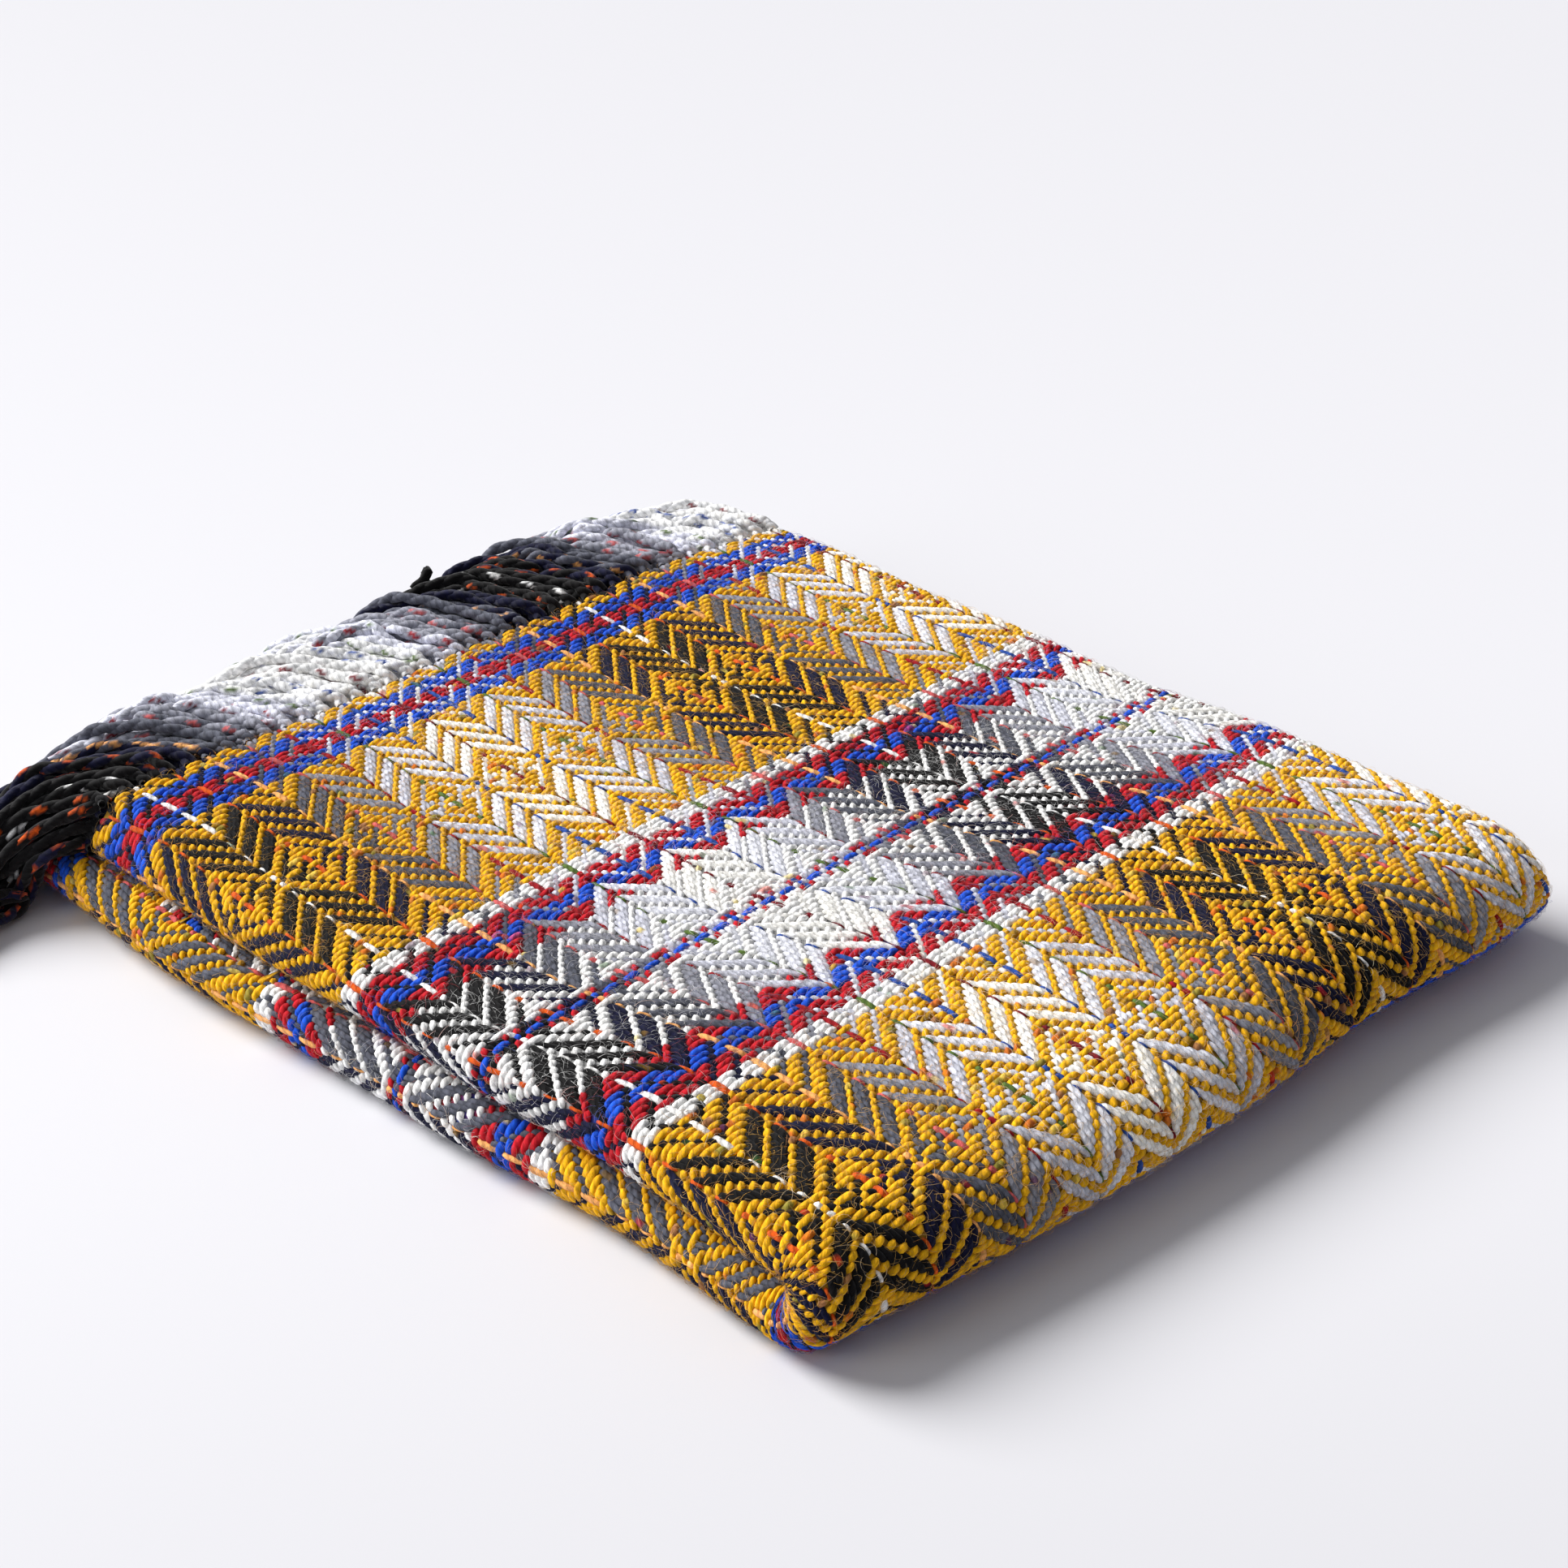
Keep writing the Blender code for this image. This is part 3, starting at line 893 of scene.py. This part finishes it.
def build_yarns(material):
    """The weave's floats on every outer face of the two halves and round the front fold."""
    turn_start = HEM_PICK + UPPER_LENGTH / PICK_PITCH                   # pick 97
    batches = [Batch() for _ in OUTER]

    def outer_home(end, pick):
        """Which piece of OUTER a float belongs to."""
        end, pick = np.broadcast_arrays(end, pick)
        x, _ = skin_section(end_sigma(end, pick_s(pick)), 0.0)
        at = strip_at(x, pick_s(pick))
        home = np.where(pick < 12, 0, np.where(pick < 54, 1, 2))
        home = np.where(end < -6, 3, home)
        home = np.where(at >= UPPER_LENGTH, 4, home)
        return np.where(at >= UPPER_LENGTH + TURN_LENGTH, np.where(end < 12, 5, 6), home)

    def pick_s(pick):
        return (pick - HEM_PICK + 0.5) * PICK_PITCH

    ends = np.arange(-21, 155)
    last = int(HEM_PICK + (STRIP_LENGTH + CREPT) / PICK_PITCH) - 1
    picks = np.arange(HEM_PICK, last)
    for warp in (True, False):
        add_floats(batches, ends, picks, outer_home, skin, warp, 2, pick_s)
    made = [(batch.build(name, material), where) for batch, (name, where) in zip(batches, OUTER)]
    inner = [Batch(), Batch()]

    def inner_place(end, s, off):
        below = s > UPPER_LENGTH
        strip = np.where(below, s + TURN_LENGTH, s)
        return skin(end - np.where(below, 4, 0), strip, np.minimum(off, 0.85 * MM))

    def inner_home(end, pick):
        end, pick = np.broadcast_arrays(end, pick)
        return np.where(pick < turn_start, np.where(end < -21, 0, -1), 1)

    ends = np.arange(-168, -17)
    picks = np.arange(HEM_PICK, int(turn_start + (LOWER_LENGTH + CREPT) / PICK_PITCH) - 1)
    for warp in (True, False):
        add_floats(inner, ends, picks, inner_home, inner_place, warp, 1, pick_s)
    made.append((inner[0].build("yarns_inner_upper", material), "upper"))
    made.append((inner[1].build("yarns_inner_lower", material), "lower"))
    return made


HAIR_NODES, HAIR_SIDES = 6, 3


def build_hairs(material):
    """Loose fibres that stand out of the cloth."""
    draw = rng(5)
    made = []
    turned = UPPER_LENGTH + TURN_LENGTH
    for name, where, count, low, high, first, last in (
            ("hairs_back", "upper", 12000, 0.0, UPPER_LENGTH / 2, -17, 153),
            ("hairs_front", "upper", 12000, UPPER_LENGTH / 2, UPPER_LENGTH, -17, 153),
            ("hairs_fold", "fold", 4500, UPPER_LENGTH, turned, -17, 153),
            ("hairs_side", "lower", 2600, turned + CREPT, STRIP_LENGTH, -17, 0)):
        count = count
        end = draw.uniform(first, last, count)
        s = draw.uniform(low + 1 * MM, high - 1 * MM, count)
        length = draw.uniform(2.5, 7.5, count) * MM
        heading = draw.uniform(0, 2 * math.pi, count)
        bend = draw.normal(0, 1.1, count)
        rise = draw.uniform(0.3, 1.5, count) * MM
        t = np.linspace(0, 1, HAIR_NODES)[None]
        angle = heading[:, None] + bend[:, None] * t
        step = length[:, None] / (HAIR_NODES - 1)
        de = np.cumsum(np.cos(angle) * step, axis=1) / END_PITCH
        ds = np.cumsum(np.sin(angle) * step, axis=1)
        off = 0.5 * MM + rise[:, None] * np.sin(math.pi * np.clip(t * 0.8 + 0.05, 0, 1))
        path = skin(end[:, None] + de, np.clip(s[:, None] + ds, low, high), off)
        colour = 0.55 * weft_colour(np.round(HEM_PICK + s / PICK_PITCH).astype(int))
        colour = colour + 0.45 * warp_colour(np.round(end).astype(int))
        colour = colour * draw.uniform(0.5, 1.2, count)[:, None] + draw.uniform(0.02, 0.14, count)[:, None]
        tint = np.repeat(colour[:, None], HAIR_NODES * HAIR_SIDES, axis=1)
        batch = Batch()
        radius = np.repeat(0.065 * MM * (1 - 0.6 * t), count, axis=0)
        tubes(batch, path, radius, HAIR_SIDES, tint, np.zeros((count, HAIR_NODES)), np.zeros(count))
        made.append((batch.build(name, material), where))
    return made


# ---------------------------------------------------------------- stage, light and camera
PAPER = (0.765, 0.763, 0.80)
FLOOR_Z = -0.0003
CAMERA_ROLL = -1.25             # degrees


def build_stage():
    """White paper with painted shade that darkens it a little towards the front left, a soft sun, a fill and
    a pale sky.
    """
    mesh = bpy.data.meshes.new("floor")
    size = 14.0
    corners = [(-size, -size), (size, -size), (size, size), (-size, size)]
    mesh.from_pydata([(x, y, FLOOR_Z) for x, y in corners], [], [(0, 1, 2, 3)])
    floor = bpy.data.objects.new("floor", mesh)
    bpy.context.scene.collection.objects.link(floor)
    material = bpy.data.materials.new("floor_paper")
    material.use_nodes = True
    shader = material.node_tree.nodes["Principled BSDF"]
    shader.inputs["Roughness"].default_value = 0.65
    shader.inputs["Specular IOR Level"].default_value = 0.2
    tree = material.node_tree
    spot = tree.nodes.new("ShaderNodeTexCoord")
    toward = tree.nodes.new("ShaderNodeVectorMath")
    toward.operation = "DOT_PRODUCT"
    toward.inputs[1].default_value = (-0.55, -0.70, 0)
    tree.links.new(spot.outputs["Object"], toward.inputs[0])
    # painted shade: the paper's colour falls to 0.84 of itself towards the front left, standing in for the
    # light fading away from the lamps behind
    fall = tree.nodes.new("ShaderNodeMapRange")
    fall.interpolation_type = "SMOOTHSTEP"
    fall.inputs["From Min"].default_value = 0.0
    fall.inputs["From Max"].default_value = 0.50
    fall.inputs["To Min"].default_value = 1.0
    fall.inputs["To Max"].default_value = 0.84
    tree.links.new(toward.outputs["Value"], fall.inputs["Value"])
    paper = tree.nodes.new("ShaderNodeVectorMath")
    paper.operation = "SCALE"
    paper.inputs[0].default_value = PAPER
    tree.links.new(fall.outputs[0], paper.inputs["Scale"])
    tree.links.new(paper.outputs[0], shader.inputs["Base Color"])
    mesh.materials.append(material)
    world = bpy.data.worlds.new("studio")
    bpy.context.scene.world = world
    world.use_nodes = True
    sky = world.node_tree.nodes["Background"]
    sky.inputs["Color"].default_value = (0.93, 0.945, 1.0, 1)
    sky.inputs["Strength"].default_value = 0.28

    def area(name, place, aim, size, power, colour):
        light = bpy.data.lights.new(name, "AREA")
        light.shape = "SQUARE"
        light.size = size
        light.energy = power
        light.color = colour
        thing = bpy.data.objects.new(name, light)
        thing.location = place
        thing.rotation_euler = (Vector(aim) - Vector(place)).to_track_quat("-Z", "Y").to_euler()
        bpy.context.scene.collection.objects.link(thing)

    sun = bpy.data.lights.new("key", "SUN")
    sun.energy = 4.75
    sun.angle = math.radians(34)
    sun.color = (1.0, 0.99, 0.97)
    key = bpy.data.objects.new("key", sun)
    key.rotation_euler = (-Vector((-0.36, 1.22, 0.95))).to_track_quat("-Z", "Y").to_euler()
    bpy.context.scene.collection.objects.link(key)
    area("fill", (-1.9, 0.5, 0.8), (0, 0, 0), 1.0, 10, (0.97, 0.98, 1.0))


def build_camera():
    """The camera of the photo, worked out in this scene's own metres."""
    place = Vector((LEFT_X - 0.3865, HEM_Y - 0.7933, 0.5013))
    forward = Vector((0.5912, 0.6524, -0.4741)).normalized()
    right = forward.cross(Vector((0, 0, 1))).normalized()
    up = right.cross(forward)
    roll = math.radians(CAMERA_ROLL)
    level, upright = right, up
    right = level * math.cos(roll) + upright * math.sin(roll)
    up = upright * math.cos(roll) - level * math.sin(roll)
    turn = Matrix((right, up, -forward)).transposed().to_4x4()
    data = bpy.data.cameras.new("camera")
    data.lens = 61.07
    data.sensor_width = 36.0
    data.clip_end = 60
    camera = bpy.data.objects.new("camera", data)
    camera.matrix_world = Matrix.Translation(place) @ turn
    bpy.context.scene.collection.objects.link(camera)
    bpy.context.scene.camera = camera


def main():
    """Builds every piece, ties it to the frame's bodies, and sets the stage."""
    yarn = wool_material("wool_yarn")
    cord_wool = wool_material("wool_fringe", ply_pitch=3.2 * MM, fibre=1.1, sheen=0.12, strength=0.8)
    backing = wool_material("wool_backing", strength=0.2)
    hair = wool_material("wool_hair", fibre=0.2, sheen=0.1, strength=0.0)
    cloth = build_cloth(backing)
    fringe = build_fringe(cord_wool)
    yarns = build_yarns(yarn)
    selvedges = build_selvedges(yarn)
    closed = build_closed_folds(yarn)
    hairs = build_hairs(hair)
    on_cloth = []
    for thing, where in yarns + hairs + [(selvedges[0], "upper"), (selvedges[1], "lower"), (closed, "lower")]:
        on_cloth.append(thing)
        if where == "fold":
            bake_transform(thing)
        else:
            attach(thing, where + "_half")
    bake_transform(cloth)
    for thing in fringe:
        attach(thing, "upper_half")
    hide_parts("lower_bundle", "upper_bundle", "front_fold")
    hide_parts(*[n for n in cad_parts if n.startswith("fringe_cord_")])
    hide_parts("fringe_under_layers")
    build_stage()
    build_camera()
    bpy.context.scene.view_settings.view_transform = "Standard"
    for thing in [cloth] + on_cloth + fringe:
        print(thing.name, len(thing.data.polygons))


main()
